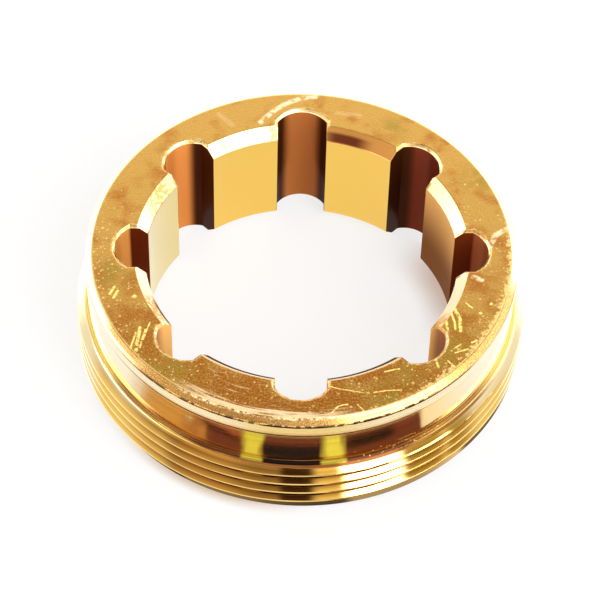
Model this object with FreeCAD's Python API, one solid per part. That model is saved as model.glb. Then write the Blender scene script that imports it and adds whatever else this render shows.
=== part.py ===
import FreeCAD, Part
import math
import os

# Retaining nut, turned and slotted from one piece of steel, in millimetres.
# The axis is +Z, and the origin is the centre of the bottom face, on the threaded end.

# Height from the bottom face to the top face
total_height = 14.0

# Thread, as a plain cylinder of its full diameter
thread_diameter = 48.0
thread_pitch = 1.5
thread_top = 6.5
thread_flank_angle = 30.0
thread_depth_per_pitch = 0.6134

# Plain neck above the thread
neck_diameter = 45.6
neck_corner_radius = 0.4

# Rim at the top
rim_diameter = 45.8
rim_height = 2.1
rim_chamfer = 0.7
rim_underside_angle = 45.0

# Bore, measured over the lands that the slots leave
bore_diameter = 33.0
bore_top_chamfer = 1.2
bore_bottom_chamfer = 1.0

# Drive slots, cut from the bore right through the height
slot_count = 8
slot_width = 5.3
slot_reach = 19.7
slot_floor_rise = 1.5
slot_mouth_chamfer = 0.3

# Radii and levels that follow from the sizes above
thread_radius = thread_diameter / 2
neck_radius = neck_diameter / 2
rim_radius = rim_diameter / 2
bore_radius = bore_diameter / 2
thread_lead_in = thread_depth_per_pitch * thread_pitch
flank_rise = (thread_radius - neck_radius) * math.tan(math.radians(thread_flank_angle))
neck_bottom = thread_top + flank_rise
rim_bottom = total_height - rim_height
rim_step_drop = (rim_radius - neck_radius) * math.tan(math.radians(rim_underside_angle))
slot_floor_radius = ((slot_width / 2) ** 2 + slot_floor_rise ** 2) / (2 * slot_floor_rise)

centre = FreeCAD.Vector(0, 0, 0)
axis = FreeCAD.Vector(0, 0, 1)


def section_face():
    """Half section of the ring in the XZ plane, from the bottom face round by the outside."""
    outline = [
        (bore_radius + bore_bottom_chamfer, 0),
        (thread_radius - thread_lead_in, 0),
        (thread_radius, thread_lead_in),
        (thread_radius, thread_top),
        (neck_radius, neck_bottom),
        (neck_radius, rim_bottom - rim_step_drop),
        (rim_radius, rim_bottom),
        (rim_radius, total_height - rim_chamfer),
        (rim_radius - rim_chamfer, total_height),
        (bore_radius + bore_top_chamfer, total_height),
        (bore_radius, total_height - bore_top_chamfer),
        (bore_radius, bore_bottom_chamfer),
    ]
    corners = [FreeCAD.Vector(radius, 0, level) for radius, level in outline]
    return Part.Face(Part.makePolygon(corners + corners[:1]))


def is_neck_corner(edge):
    """True for the circle where the neck meets the last flank of the thread."""
    if not isinstance(edge.Curve, Part.Circle):
        return False
    place = FreeCAD.Vector(edge.Curve.Radius, 0, edge.Curve.Center.z)
    return place.isEqual(FreeCAD.Vector(neck_radius, 0, neck_bottom), Part.Precision.confusion())


def turned_blank():
    """The ring as it leaves the lathe, with the neck's lower corner rounded."""
    ring = section_face().revolve(centre, axis, 360)
    return ring.makeFillet(neck_corner_radius, [edge for edge in ring.Edges if is_neck_corner(edge)])


def slot_outline(growth, level):
    """Outline of one slot along +X: walls that start inside the bore, and a shallow round floor between them."""
    half_width = slot_width / 2 + growth
    floor_radius = slot_floor_radius + growth
    reach = slot_reach + growth
    wall_start = bore_radius - slot_width
    wall_end = reach - floor_radius + math.sqrt(floor_radius ** 2 - half_width ** 2)
    start_low = FreeCAD.Vector(wall_start, -half_width, level)
    end_low = FreeCAD.Vector(wall_end, -half_width, level)
    floor_middle = FreeCAD.Vector(reach, 0, level)
    end_high = FreeCAD.Vector(wall_end, half_width, level)
    start_high = FreeCAD.Vector(wall_start, half_width, level)
    return Part.Wire([
        Part.makeLine(start_low, end_low),
        Part.Arc(end_low, floor_middle, end_high).toShape(),
        Part.makeLine(end_high, start_high),
        Part.makeLine(start_high, start_low),
    ])


def slot_cutter():
    """One slot right through the height, with the chamfer round its mouth in the top face."""
    shaft = Part.Face(slot_outline(0, 0)).extrude(axis * total_height)
    chamfer_foot = slot_outline(0, total_height - slot_mouth_chamfer)
    chamfer_head = slot_outline(slot_mouth_chamfer, total_height)
    return shaft.fuse(Part.makeLoft([chamfer_foot, chamfer_head], True, True))


def retaining_nut():
    """The turned blank with its ring of drive slots."""
    cutters = []
    for index in range(slot_count):
        cutter = slot_cutter()
        cutter.rotate(centre, axis, index * 360 / slot_count)
        cutters.append(cutter)
    return turned_blank().cut(cutters).removeSplitter().Solids[0]


os.makedirs("parts", exist_ok=True)
nut = retaining_nut()
nut.exportStep("parts/retaining_nut.step")
print("retaining_nut: valid", nut.isValid(), "faces", len(nut.Faces), "volume", round(nut.Volume, 1), "mm3")
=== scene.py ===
"""Retaining nut in yellow passivated zinc plate: turned outside, threaded foot and slotted bore."""

import logging
import math
from dataclasses import dataclass
from enum import Enum
from functools import cache, partial, reduce
from typing import Union

import bmesh
import bpy
from bmesh.types import BMEdge, BMesh, BMVert
from mathutils import Matrix, Vector


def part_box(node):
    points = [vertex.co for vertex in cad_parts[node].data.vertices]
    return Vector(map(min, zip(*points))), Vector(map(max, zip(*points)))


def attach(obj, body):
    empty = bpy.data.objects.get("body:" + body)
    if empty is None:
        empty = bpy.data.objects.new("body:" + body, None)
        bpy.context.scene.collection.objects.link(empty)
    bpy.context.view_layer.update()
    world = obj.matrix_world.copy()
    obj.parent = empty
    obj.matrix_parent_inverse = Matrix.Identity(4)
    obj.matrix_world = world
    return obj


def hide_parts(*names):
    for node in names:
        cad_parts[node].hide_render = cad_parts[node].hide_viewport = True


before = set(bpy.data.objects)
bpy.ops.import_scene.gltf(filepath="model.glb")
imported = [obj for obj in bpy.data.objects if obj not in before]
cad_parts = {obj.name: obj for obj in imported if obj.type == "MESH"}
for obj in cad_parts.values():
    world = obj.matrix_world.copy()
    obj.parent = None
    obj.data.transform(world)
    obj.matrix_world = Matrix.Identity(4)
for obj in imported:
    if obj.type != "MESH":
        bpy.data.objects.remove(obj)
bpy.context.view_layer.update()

MM = 0.001
NODE = "retaining_nut"
BODY = "root"
LOG = logging.getLogger("retaining_nut")

# Directions round the axis, in degrees from +X: the camera's side of the nut, and the scene's front
CAMERA_SIDE = -91.0
FRONT = -90.0

# Profile of a bevel that makes a true round
ROUND_PROFILE = 0.5

# Socket kinds of the shared effects
NUMBER = "NodeSocketFloat"
PLACE = "NodeSocketVector"

NOISE_MEAN = 0.5

Socket = bpy.types.NodeSocket
Triple = tuple[float, float, float]
Feed = Union[Socket, float, Triple]

WHITE: Triple = (1.0, 1.0, 1.0)
SILVER: Triple = (1.0, 0.86, 0.54)
# Dark brown of the painted shade lines on the front lips' foot and on the rim chamfer
LINE_BROWN: Triple = (0.10, 0.05, 0.015)
# Takes the height out of a place
FLAT: Triple = (1.0, 1.0, 0.0)

# Where a mask is 0 and where it is 1
Ramp = tuple[float, float]
# Start and end of a stretch, and how soft its ends are
Zone = tuple[float, float, float]
# Grains of a noise for each millimetre, and how many finer layers it has
Grain = tuple[float, float]


@dataclass
class Wiring:
    """Adds nodes to one tree and joins them."""

    tree: bpy.types.NodeTree

    def add(self, kind: str, *values: Feed, **settings: object) -> bpy.types.Node:
        """Add one node.

        Args:
            kind: the node's type.
            values: what its inputs get, in their order.
            settings: properties of the node by name.

        Returns:
            The new node.
        """
        node = self.tree.nodes.new(kind)
        for name, setting in settings.items():
            setattr(node, name, setting)
        for socket, value in zip(node.inputs, values):
            self.feed(socket, value)
        return node

    def plug(self, node: bpy.types.Node, **values: Feed) -> bpy.types.Node:
        """Feed a node's inputs by name.

        Args:
            node: the node.
            values: what its inputs get.

        Returns:
            The same node.
        """
        for name, value in values.items():
            self.feed(node.inputs[name], value)
        return node

    def feed(self, socket: Socket, value: Feed) -> None:
        """Link a socket, or set it where the value is plain.

        Args:
            socket: the input.
            value: an output, a number or a triple.
        """
        if isinstance(value, bpy.types.NodeSocket):
            self.tree.links.new(value, socket)
        elif socket.type == "RGBA":
            socket.default_value = (*value, 1.0)
        else:
            socket.default_value = value

    def math(self, operation: str, *values: Feed) -> Socket:
        """Work out one number from its terms."""
        return self.add("ShaderNodeMath", *values, operation=operation).outputs[0]

    def vector(self, operation: str, *values: Feed) -> bpy.types.Node:
        """Work out one vector from its terms, as a node with its vector and its value."""
        return self.add("ShaderNodeVectorMath", *values, operation=operation)

    def scaled(self, place: Feed, factor: Feed) -> Socket:
        """Multiply a vector by a number."""
        return self.plug(self.vector("SCALE", place), Scale=factor).outputs["Vector"]

    def millimetres(self) -> Socket:
        """Read where a point lies on its object, in millimetres."""
        return self.scaled(self.add("ShaderNodeTexCoord").outputs["Object"], 1.0 / MM)

    def split(self, place: Feed) -> bpy.types.NodeOutputs:
        """Take a vector apart into X, Y and Z."""
        return self.add("ShaderNodeSeparateXYZ", place).outputs

    def product(self, *masks: Feed) -> Feed:
        """Multiply numbers."""
        return reduce(partial(self.math, "MULTIPLY"), masks)

    def most(self, *masks: Feed) -> Feed:
        """Take the largest of some numbers."""
        return reduce(partial(self.math, "MAXIMUM"), masks)

    def rest(self, mask: Feed) -> Socket:
        """What a mask leaves of 1."""
        return self.math("SUBTRACT", 1.0, mask)

    def rise(self, value: Feed, low: Feed, high: Feed) -> Socket:
        """Go smoothly from 0 at low to 1 at high, which may lie under low."""
        node = self.add("ShaderNodeMapRange", value, low, high, interpolation_type="SMOOTHSTEP")
        return node.outputs["Result"]

    def window(self, value: Feed, start: float, end: float, soft: float) -> Socket:
        """Mask of the stretch between two numbers, with soft ends."""
        return self.group(window_effect(), Value=value, From=start, To=end, Soft=soft).outputs["Mask"]

    def mix(self, share: Feed, first: Feed, second: Feed) -> Socket:
        """Mix two colours.

        Args:
            share: how much of the second is used.
            first: colour at share 0.
            second: colour at share 1.

        Returns:
            The mixed colour.
        """
        node = self.plug(self.add("ShaderNodeMix", data_type="RGBA"), Factor=share)
        # The sockets for colours come after those for numbers and vectors
        self.feed(node.inputs[6], first)
        self.feed(node.inputs[7], second)
        return node.outputs[2]

    def noise(self, place: Feed, scale: float, layers: float) -> Socket:
        """Read a noise in space, as a number near one half."""
        node = self.add("ShaderNodeTexNoise")
        return self.plug(node, Vector=place, Scale=scale, Detail=layers).outputs["Fac"]

    def lines(self, along: Feed, scale: float, layers: float) -> Socket:
        """Read a noise along one line, which makes rings or rows, as a number near one half."""
        node = self.add("ShaderNodeTexNoise", noise_dimensions="1D")
        return self.plug(node, W=along, Scale=scale, Detail=layers).outputs["Fac"]

    def group(self, tree: bpy.types.NodeTree, **values: Feed) -> bpy.types.Node:
        """Use a shared effect, with its inputs by name."""
        return self.plug(self.add("ShaderNodeGroup", node_tree=tree), **values)


@dataclass
class Effect:
    """A shared effect as a node group, with its inputs and outputs at hand."""

    name: str
    inputs: dict[str, str]
    outputs: dict[str, str]

    def open(self) -> tuple[Wiring, bpy.types.Node, bpy.types.Node]:
        """Make the empty group.

        Returns:
            Its wiring, the node with its inputs and the node with its outputs.
        """
        tree = bpy.data.node_groups.new(self.name, "ShaderNodeTree")
        for label, kind in self.inputs.items():
            tree.interface.new_socket(label, in_out="INPUT", socket_type=kind)
        for label, kind in self.outputs.items():
            tree.interface.new_socket(label, in_out="OUTPUT", socket_type=kind)
        wiring = Wiring(tree)
        return wiring, wiring.add("NodeGroupInput"), wiring.add("NodeGroupOutput")


@cache
def polar_effect() -> bpy.types.NodeTree:
    """Radius, turn in degrees and level of a point.

    Returns:
        The group, which takes a place.
    """
    effect = Effect("polar", {"Place": PLACE}, {"Radius": NUMBER, "Turn": NUMBER, "Level": NUMBER})
    wiring, entry, leave = effect.open()
    parts = wiring.split(entry.outputs["Place"])
    flat = wiring.vector("MULTIPLY", entry.outputs["Place"], FLAT).outputs["Vector"]
    turn = wiring.math("DEGREES", wiring.math("ARCTAN2", parts["Y"], parts["X"]))
    wiring.plug(leave, Radius=wiring.vector("LENGTH", flat).outputs["Value"], Turn=turn, Level=parts["Z"])
    return wiring.tree


@cache
def stroke_effect() -> bpy.types.NodeTree:
    """Mask of a straight scratch on the top face.

    Returns:
        The group, which takes a place, the scratch's two ends and its width.
    """
    core = 0.35
    inputs = {"Place": PLACE, "Start": PLACE, "End": PLACE, "Width": NUMBER}
    effect = Effect("stroke", inputs, {"Mask": NUMBER})
    wiring, entry, leave = effect.open()
    flat = wiring.vector("MULTIPLY", entry.outputs["Place"], FLAT).outputs["Vector"]
    away = wiring.vector("SUBTRACT", flat, entry.outputs["Start"]).outputs["Vector"]
    span = wiring.vector("SUBTRACT", entry.outputs["End"], entry.outputs["Start"]).outputs["Vector"]
    along = wiring.vector("DOT_PRODUCT", away, span).outputs["Value"]
    whole = wiring.vector("DOT_PRODUCT", span, span).outputs["Value"]
    share = wiring.math("MINIMUM", wiring.most(wiring.math("DIVIDE", along, whole), 0.0), 1.0)
    gap = wiring.vector("DISTANCE", away, wiring.scaled(span, share)).outputs["Value"]
    half = wiring.math("DIVIDE", entry.outputs["Width"], 2.0)
    wiring.plug(leave, Mask=wiring.rise(gap, half, wiring.product(half, core)))
    return wiring.tree


@cache
def patch_effect() -> bpy.types.NodeTree:
    """Mask of a soft round patch on the top face.

    Returns:
        The group, which takes a place, the patch's centre and its reach.
    """
    effect = Effect("patch", {"Place": PLACE, "Centre": PLACE, "Reach": NUMBER}, {"Mask": NUMBER})
    wiring, entry, leave = effect.open()
    flat = wiring.vector("MULTIPLY", entry.outputs["Place"], FLAT).outputs["Vector"]
    gap = wiring.vector("DISTANCE", flat, entry.outputs["Centre"]).outputs["Value"]
    wiring.plug(leave, Mask=wiring.rise(gap, entry.outputs["Reach"], 0.0))
    return wiring.tree


@cache
def speck_effect() -> bpy.types.NodeTree:
    """Mask of small scattered dots.

    Returns:
        The group, which takes a place, dots for each unit of length and the share of them that show.
    """
    least, spread, core = 0.12, 0.3, 0.3
    effect = Effect("specks", {"Place": PLACE, "Scale": NUMBER, "Share": NUMBER}, {"Mask": NUMBER})
    wiring, entry, leave = effect.open()
    cells = wiring.add("ShaderNodeTexVoronoi")
    wiring.plug(cells, Vector=entry.outputs["Place"], Scale=entry.outputs["Scale"])
    chance = wiring.add("ShaderNodeSeparateColor", cells.outputs["Color"])
    size = wiring.math("MULTIPLY_ADD", chance.outputs["Green"], spread, least)
    dot = wiring.rise(cells.outputs["Distance"], size, wiring.product(size, core))
    shown = wiring.math("LESS_THAN", chance.outputs["Red"], entry.outputs["Share"])
    wiring.plug(leave, Mask=wiring.product(dot, shown))
    return wiring.tree


@cache
def slot_effect(slots: int, width: float, reach: float, rise: float) -> bpy.types.NodeTree:
    """Where a point lies beside the nearest slot, in millimetres.

    Args:
        slots: how many slots there are, the first along +X.
        width: distance of a slot's walls.
        reach: radius at which a slot ends.
        rise: how far the round floor stands out of the walls' ends.

    Returns:
        The group, with the distances off the slot's middle, along it from the axis and outside its outline.
    """
    effect = Effect("slot_place", {"Radius": NUMBER, "Turn": NUMBER},
                    {"Across": NUMBER, "Along": NUMBER, "Gap": NUMBER})
    wiring, entry, leave = effect.open()
    sector = 360.0 / slots
    nearest = wiring.math("ROUND", wiring.math("DIVIDE", entry.outputs["Turn"], sector))
    beside = wiring.math("RADIANS", wiring.math("MULTIPLY_ADD", nearest, -sector, entry.outputs["Turn"]))
    along = wiring.product(entry.outputs["Radius"], wiring.math("COSINE", beside))
    across = wiring.product(entry.outputs["Radius"], wiring.math("SINE", beside))
    across = wiring.math("ABSOLUTE", across)
    half = width / 2
    floor_radius = (half**2 + rise**2) / (2 * rise)
    out = wiring.math("SUBTRACT", along, reach - floor_radius)
    square = wiring.math("MULTIPLY_ADD", out, out, wiring.product(across, across))
    past_floor = wiring.math("SUBTRACT", wiring.math("SQRT", square), floor_radius)
    past_wall = wiring.math("SUBTRACT", across, half)
    wiring.plug(leave, Across=across, Along=along, Gap=wiring.most(past_floor, past_wall))
    return wiring.tree


@cache
def window_effect() -> bpy.types.NodeTree:
    """Mask of the stretch between two numbers, with soft ends.

    Returns:
        The group, which takes a value, the stretch's two ends and their softness.
    """
    inputs = {"Value": NUMBER, "From": NUMBER, "To": NUMBER, "Soft": NUMBER}
    effect = Effect("window", inputs, {"Mask": NUMBER})
    wiring, entry, leave = effect.open()
    value = entry.outputs["Value"]
    soft = entry.outputs["Soft"]
    start = wiring.math("SUBTRACT", value, entry.outputs["From"])
    end = wiring.math("SUBTRACT", entry.outputs["To"], value)
    inside = wiring.math("MINIMUM", start, end)
    wiring.plug(leave, Mask=wiring.rise(inside, wiring.product(soft, -1.0), soft))
    return wiring.tree


def join(mesh: BMesh, part: BMesh) -> None:
    """Add one mesh to another and let the first go.

    Args:
        mesh: the mesh that grows.
        part: the mesh that is added and freed.
    """
    data = bpy.data.meshes.new("part")
    part.to_mesh(data)
    part.free()
    mesh.from_mesh(data)
    bpy.data.meshes.remove(data)


def rim_loop(mesh: BMesh, level: float, slack: float) -> list[BMEdge]:
    """Find the open edges on one level.

    Args:
        mesh: the mesh to search.
        level: height of the edges.
        slack: how far an end may lie off that level.

    Returns:
        The edges with one face or none whose two ends lie on the level.
    """
    found = []
    for edge in mesh.edges:
        flat = all(abs(vert.co.z - level) < slack for vert in edge.verts)
        if flat and len(edge.link_faces) < 2:
            found.append(edge)
    return found


def set_out(name: str, mesh: BMesh) -> bpy.types.Object:
    """Make an object of a mesh and put it in the scene.

    Args:
        name: the object's name.
        mesh: its mesh, which is freed.

    Returns:
        The object, at the origin.
    """
    data = bpy.data.meshes.new(name)
    mesh.to_mesh(data)
    mesh.free()
    piece = bpy.data.objects.new(name, data)
    bpy.context.scene.collection.objects.link(piece)
    return piece


@dataclass
class TurnedOutside:
    """The outside of the nut as the lathe leaves it: threaded foot, neck, rim and chamfer.

    The shares of the tooth are parts of the pitch, and the root's curve is one point of it, as parts of the
    full depth and of the pitch.
    """

    height: float
    thread_radius: float
    pitch: float = 1.5 * MM
    thread_top: float = 6.5 * MM
    lead_in: float = 0.92 * MM
    flank_angle: float = math.radians(30.0)
    crest_share: float = 1 / 16
    root_share: float = 3 / 8
    flank_share: float = 0.5413
    root_curve: tuple[float, float] = (0.97, 0.44)
    neck_radius: float = 22.8 * MM
    neck_corner: float = 0.4 * MM
    rim_radius: float = 22.9 * MM
    rim_height: float = 2.1 * MM
    rim_chamfer: float = 0.7 * MM
    edge_break: float = 0.14 * MM
    crest_break: float = 0.035 * MM
    crest_level: float = 6.38 * MM
    crest_turn: float = math.radians(CAMERA_SIDE)
    columns: int = 360
    corner_steps: int = 8
    edge_steps: int = 3
    small_steps: int = 2
    weld: float = 0.003 * MM
    sliver: float = 0.00075 * MM
    snap: float = 0.012 * MM

    @property
    def neck_foot(self) -> float:
        """Level at which the last flank would meet the neck without its rounded corner."""
        return self.thread_top + (self.thread_radius - self.neck_radius) * math.tan(self.flank_angle)

    @property
    def corner_reach(self) -> float:
        """How far the rounded corner runs along the flank and along the neck."""
        return self.neck_corner * math.tan((math.pi / 2 - self.flank_angle) / 2)

    @property
    def join_level(self) -> float:
        """Level at which the threaded foot ends and the rounded corner begins."""
        return self.neck_foot - self.corner_reach * math.sin(self.flank_angle)

    @property
    def rim_foot(self) -> float:
        """Level at which the rim begins."""
        return self.height - self.rim_height

    @property
    def chamfer_foot(self) -> float:
        """Level at which the rim's chamfer begins."""
        return self.height - self.rim_chamfer

    @property
    def top_edge(self) -> float:
        """Radius at which the top face ends."""
        return self.rim_radius - self.rim_chamfer

    def envelope(self, level: float) -> float:
        """Radius of the blank that the thread is cut in.

        Args:
            level: height over the bottom face.

        Returns:
            The largest radius there, with the lead-in chamfer and the last flank.
        """
        low = self.thread_radius - max(self.lead_in - level, 0.0)
        high = self.thread_radius - max(level - self.thread_top, 0.0) / math.tan(self.flank_angle)
        return min(low, high)

    def tooth(self) -> list[tuple[float, float]]:
        """One tooth from root to root, as depth under the crest and distance along the axis."""
        depth_share, along_share = self.root_curve
        upper = [
            (0.0, self.crest_share * self.pitch),
            (self.flank_share * self.pitch, self.root_share * self.pitch),
            (depth_share * self.lead_in, along_share * self.pitch),
            (self.lead_in, self.pitch / 2),
        ]
        lower = [(depth, -along) for depth, along in reversed(upper)]
        return lower + upper

    def thread(self) -> BMesh:
        """Sweep one tooth along its helix, then trim it to the blank and to the foot's two ends.

        Returns:
            The threaded foot, open at the bottom face and at the join with the neck.
        """
        mesh = bmesh.new()
        # One spare turn under the foot and one over it, which the trim takes off
        turns = math.ceil(self.join_level / self.pitch) + 2
        first_level = self.crest_level - self.pitch * (math.ceil(self.crest_level / self.pitch) + 1)
        corners = []
        for depth, along in self.tooth():
            corners.append(mesh.verts.new((self.thread_radius - depth, 0.0, first_level + along)))
        for pair in zip(corners, corners[1:]):
            mesh.edges.new(pair)
        crest = [corner for corner in corners if corner.co.x > self.thread_radius - self.weld]
        bmesh.ops.bevel(mesh, geom=crest, offset=self.crest_break, segments=self.small_steps,
                        profile=ROUND_PROFILE, affect="VERTICES", material=-1)
        self.face_camera(mesh)
        bmesh.ops.spin(mesh, geom=mesh.verts[:] + mesh.edges[:], cent=(0, 0, 0), axis=(0, 0, 1),
                       dvec=(0, 0, self.pitch / self.columns), angle=math.tau, steps=self.columns)
        one_turn = mesh.verts[:] + mesh.edges[:] + mesh.faces[:]
        for turn in range(1, turns):
            copy = bmesh.ops.duplicate(mesh, geom=one_turn)["geom"]
            moved = [item for item in copy if isinstance(item, BMVert)]
            bmesh.ops.translate(mesh, verts=moved, vec=(0, 0, turn * self.pitch))
        self.trim(mesh)
        bmesh.ops.remove_doubles(mesh, verts=mesh.verts[:], dist=self.weld)
        bmesh.ops.dissolve_degenerate(mesh, edges=mesh.edges[:], dist=self.sliver)
        return mesh

    def face_camera(self, mesh: BMesh) -> None:
        """Turn a section so that its spin starts on the camera's side."""
        turn = Matrix.Rotation(self.crest_turn, 3, "Z")
        bmesh.ops.rotate(mesh, verts=mesh.verts[:], cent=(0, 0, 0), matrix=turn)

    def trim(self, mesh: BMesh) -> None:
        """Bring each point of the swept tooth back to the blank, on an even ring of columns.

        Args:
            mesh: the mesh that holds only the swept tooth.
        """
        step = math.tau / self.columns
        for vert in mesh.verts:
            turn = math.atan2(vert.co.y, vert.co.x) - self.crest_turn
            turn = round(turn / step) * step + self.crest_turn
            radius = vert.co.xy.length
            level = vert.co.z
            if level < self.snap:
                level, radius = 0.0, self.thread_radius
            elif level > self.join_level - self.snap:
                level, radius = self.join_level, self.thread_radius
            radius = min(radius, self.envelope(level))
            vert.co = Vector((radius * math.cos(turn), radius * math.sin(turn), level))

    def upper(self) -> BMesh:
        """Turn the neck, rim and chamfer from one section.

        Returns:
            The upper part of the outside, open at the join with the thread and on the top face.
        """
        mesh = bmesh.new()
        step = self.rim_radius - self.neck_radius
        section = [
            (self.envelope(self.join_level), self.join_level),
            (self.neck_radius, self.neck_foot),
            (self.neck_radius, self.rim_foot - step),
            (self.rim_radius, self.rim_foot),
            (self.rim_radius, self.chamfer_foot),
            (self.top_edge, self.height),
            (self.top_edge - self.rim_chamfer, self.height),
        ]
        corners = [mesh.verts.new((radius, 0.0, level)) for radius, level in section]
        for pair in zip(corners, corners[1:]):
            mesh.edges.new(pair)
        rounds = [
            (corners[1:2], self.corner_reach, self.corner_steps),
            (corners[2:4], self.edge_break / 2, self.small_steps),
            (corners[4:6], self.edge_break, self.edge_steps),
        ]
        for verts, offset, segments in rounds:
            bmesh.ops.bevel(mesh, geom=verts, offset=offset, segments=segments, profile=ROUND_PROFILE,
                            affect="VERTICES", material=-1)
        self.face_camera(mesh)
        bmesh.ops.spin(mesh, geom=mesh.verts[:] + mesh.edges[:], cent=(0, 0, 0), axis=(0, 0, 1),
                       angle=math.tau, steps=self.columns, use_merge=True)
        return mesh


@dataclass
class SlottedBore:
    """The bore with its lands, their chamfers and the drive slots between them."""

    height: float
    radius: float = 16.5 * MM
    top_chamfer: float = 1.2 * MM
    bottom_chamfer: float = 1.0 * MM
    slots: int = 8
    slot_width: float = 5.3 * MM
    slot_reach: float = 19.7 * MM
    floor_rise: float = 1.5 * MM
    mouth_chamfer: float = 0.3 * MM
    land_steps: int = 15
    wall_steps: int = 3
    floor_steps: int = 24
    edge_steps: int = 2
    edge_break: float = 0.08 * MM
    sharp_from: float = math.radians(25.0)
    weld: float = 0.008 * MM

    @property
    def floor_radius(self) -> float:
        """Radius of the shallow round floor of a slot."""
        half = self.slot_width / 2
        return (half**2 + self.floor_rise**2) / (2 * self.floor_rise)

    def outline(self, land_radius: float, level: float, growth: float = 0.0) -> BMesh:
        """Draw the bore's outline on one level.

        Args:
            land_radius: radius of the lands on that level.
            level: height over the bottom face.
            growth: how far the slots are widened on that level.

        Returns:
            The closed outline, as edges only.
        """
        mesh = bmesh.new()
        half = self.slot_width / 2 + growth
        floor_radius = self.floor_radius + growth
        floor_centre = self.slot_reach - self.floor_radius
        corner_turn = math.asin(half / land_radius)
        corner_reach = land_radius * math.cos(corner_turn)
        sector = math.tau / self.slots
        start = mesh.verts.new((corner_reach, half, level))
        bmesh.ops.spin(mesh, geom=[start], cent=(0, 0, 0), axis=(0, 0, 1), angle=sector - 2 * corner_turn,
                       steps=self.land_steps)
        wall_end = floor_centre + math.sqrt(floor_radius**2 - half**2)
        wall_step = (wall_end - corner_reach) / self.wall_steps
        corner = self.draw_wall(mesh, start, wall_step)
        floor = bmesh.ops.spin(mesh, geom=[corner], cent=(floor_centre, 0, level), axis=(0, 0, 1),
                               angle=-2 * math.asin(half / floor_radius), steps=self.floor_steps)
        far_corner = [item for item in floor["geom_last"] if isinstance(item, BMVert)][0]
        self.draw_wall(mesh, far_corner, -wall_step)
        bmesh.ops.spin(mesh, geom=mesh.verts[:] + mesh.edges[:], cent=(0, 0, 0), axis=(0, 0, 1),
                       angle=math.tau - sector, steps=self.slots - 1, use_duplicate=True)
        bmesh.ops.remove_doubles(mesh, verts=mesh.verts[:], dist=self.weld)
        return mesh

    def draw_wall(self, mesh: BMesh, vert: BMVert, step: float) -> BMVert:
        """Draw one straight wall of the slot that lies along +X.

        Args:
            mesh: the mesh that gets the wall.
            vert: the end that it starts from.
            step: length of each stretch along X.

        Returns:
            The wall's other end.
        """
        for _ in range(self.wall_steps):
            result = bmesh.ops.extrude_vert_indiv(mesh, verts=[vert])
            vert = result["verts"][0]
            vert.co.x += step
        return vert

    def walls(self) -> BMesh:
        """Span the walls of the bore between its outlines.

        Returns:
            The walls, open on the top face and on the bottom face.
        """
        mesh = bmesh.new()
        top_radius = self.radius + self.top_chamfer
        levels = [
            (top_radius, self.height, self.mouth_chamfer),
            (top_radius - self.mouth_chamfer, self.height - self.mouth_chamfer, 0.0),
            (self.radius, self.height - self.top_chamfer, 0.0),
            (self.radius, self.bottom_chamfer, 0.0),
            (self.radius + self.bottom_chamfer, 0.0, 0.0),
        ]
        for land_radius, level, growth in levels:
            join(mesh, self.outline(land_radius, level, growth))
        loops = [rim_loop(mesh, level, self.weld) for _, level, _ in levels]
        for upper, lower in zip(loops, loops[1:]):
            bmesh.ops.bridge_loops(mesh, edges=upper + lower)
        return mesh

    def break_edges(self, mesh: BMesh) -> None:
        """Round the outside corners of the bore and its slots a little.

        Args:
            mesh: the closed nut, with its normals set.
        """
        reach = self.slot_reach + self.mouth_chamfer + self.edge_break
        sharp = []
        for edge in mesh.edges:
            inside = all(vert.co.xy.length < reach for vert in edge.verts)
            if inside and len(edge.link_faces) == 2 and edge.calc_face_angle_signed() > self.sharp_from:
                sharp.append(edge)
        bmesh.ops.bevel(mesh, geom=sharp, offset=self.edge_break, offset_type="OFFSET", affect="EDGES",
                        segments=self.edge_steps, profile=ROUND_PROFILE, clamp_overlap=True, material=-1)


@dataclass
class RetainingNut:
    """The whole nut as one closed piece."""

    outside: TurnedOutside
    bore: SlottedBore
    sharp_from: float = math.radians(6.0)

    def build(self) -> bpy.types.Object:
        """Make the nut's mesh and object.

        Returns:
            The finished piece, at the origin.
        """
        mesh = bmesh.new()
        for part in (self.outside.thread(), self.outside.upper(), self.bore.walls()):
            join(mesh, part)
        bmesh.ops.remove_doubles(mesh, verts=mesh.verts[:], dist=self.outside.weld)
        for level in (0.0, self.outside.height):
            bmesh.ops.bridge_loops(mesh, edges=rim_loop(mesh, level, self.outside.weld))
        bmesh.ops.recalc_face_normals(mesh, faces=mesh.faces[:])
        self.bore.break_edges(mesh)
        bmesh.ops.recalc_face_normals(mesh, faces=mesh.faces[:])
        for face in mesh.faces:
            face.smooth = True
        for edge in mesh.edges:
            edge.smooth = len(edge.link_faces) == 2 and edge.calc_face_angle() < self.sharp_from
        open_edges = sum(1 for edge in mesh.edges if not edge.is_manifold)
        LOG.info("nut mesh: %d faces, %d open edges", len(mesh.faces), open_edges)
        return set_out("nut", mesh)

    def dress(self, piece: bpy.types.Object) -> None:
        """Give the piece its finish."""
        finish = PlatedSteel(TopFace(self.outside), BoreFace(self.bore), OutsideFace(self.outside))
        piece.data.materials.append(finish.build())


@dataclass(frozen=True)
class Scratch:
    """A mark on the top face, as points in millimetres, with its width."""

    path: tuple[tuple[float, float], ...]
    width: float


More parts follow.
